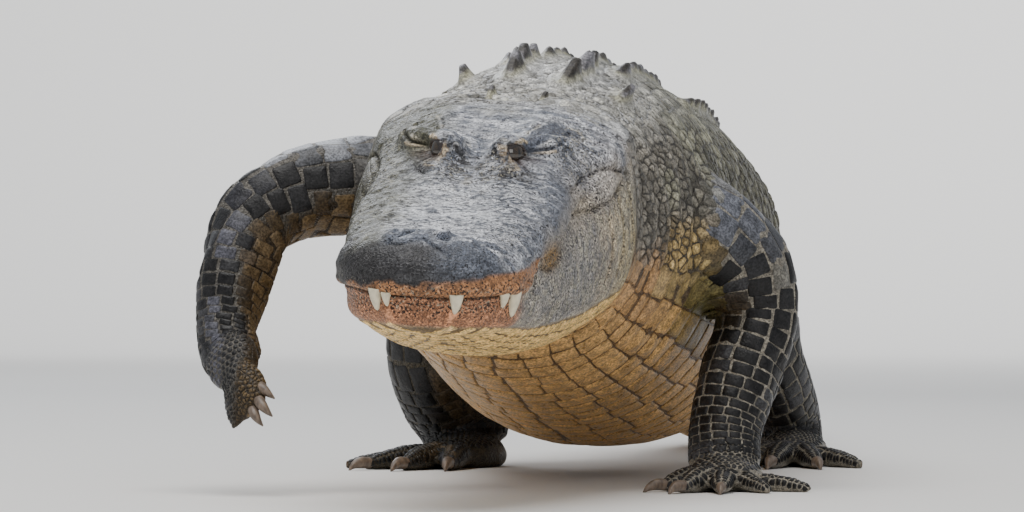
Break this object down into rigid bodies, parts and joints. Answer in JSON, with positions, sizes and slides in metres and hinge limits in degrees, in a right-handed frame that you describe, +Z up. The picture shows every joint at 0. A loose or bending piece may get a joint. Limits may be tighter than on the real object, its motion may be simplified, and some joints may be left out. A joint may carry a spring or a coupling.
{
  "type": "american alligator",
  "caption": "Life-size still model of a large adult alligator in mid step, one forefoot lifted, belly clear of the ground and the tail laid out behind.",
  "frame": {"origin": "on the ground plane, below the middle of the whole animal", "axes": "+Z up, -Y towards the snout, +Y towards the tail's tip, +X to the animal's left"},
  "size_m": [0.7279, 3.5651, 0.5375],
  "materials": {
    "hide": "damp scaly hide, grey-black above and cream below",
    "eyes": "wet dark brown eye",
    "claws": "worn pale horn",
    "teeth": "ivory"
  },
  "bodies": {
    "root": {"head": "hide", "lower_jaw": "hide", "eye_left": "eyes", "eye_right": "eyes", "neck": "hide", "torso": "hide", "tail_base": "hide", "tail_middle": "hide", "tail_tip": "hide", "left_upper_arm": "hide", "left_forearm": "hide", "left_forefoot": "hide", "right_upper_arm": "hide", "right_forearm": "hide", "right_forefoot": "hide", "right_thigh": "hide", "right_shank": "hide", "right_hindfoot": "hide", "left_thigh": "hide", "left_shank": "hide", "left_hindfoot": "hide"}
  },
  "joints": []
}
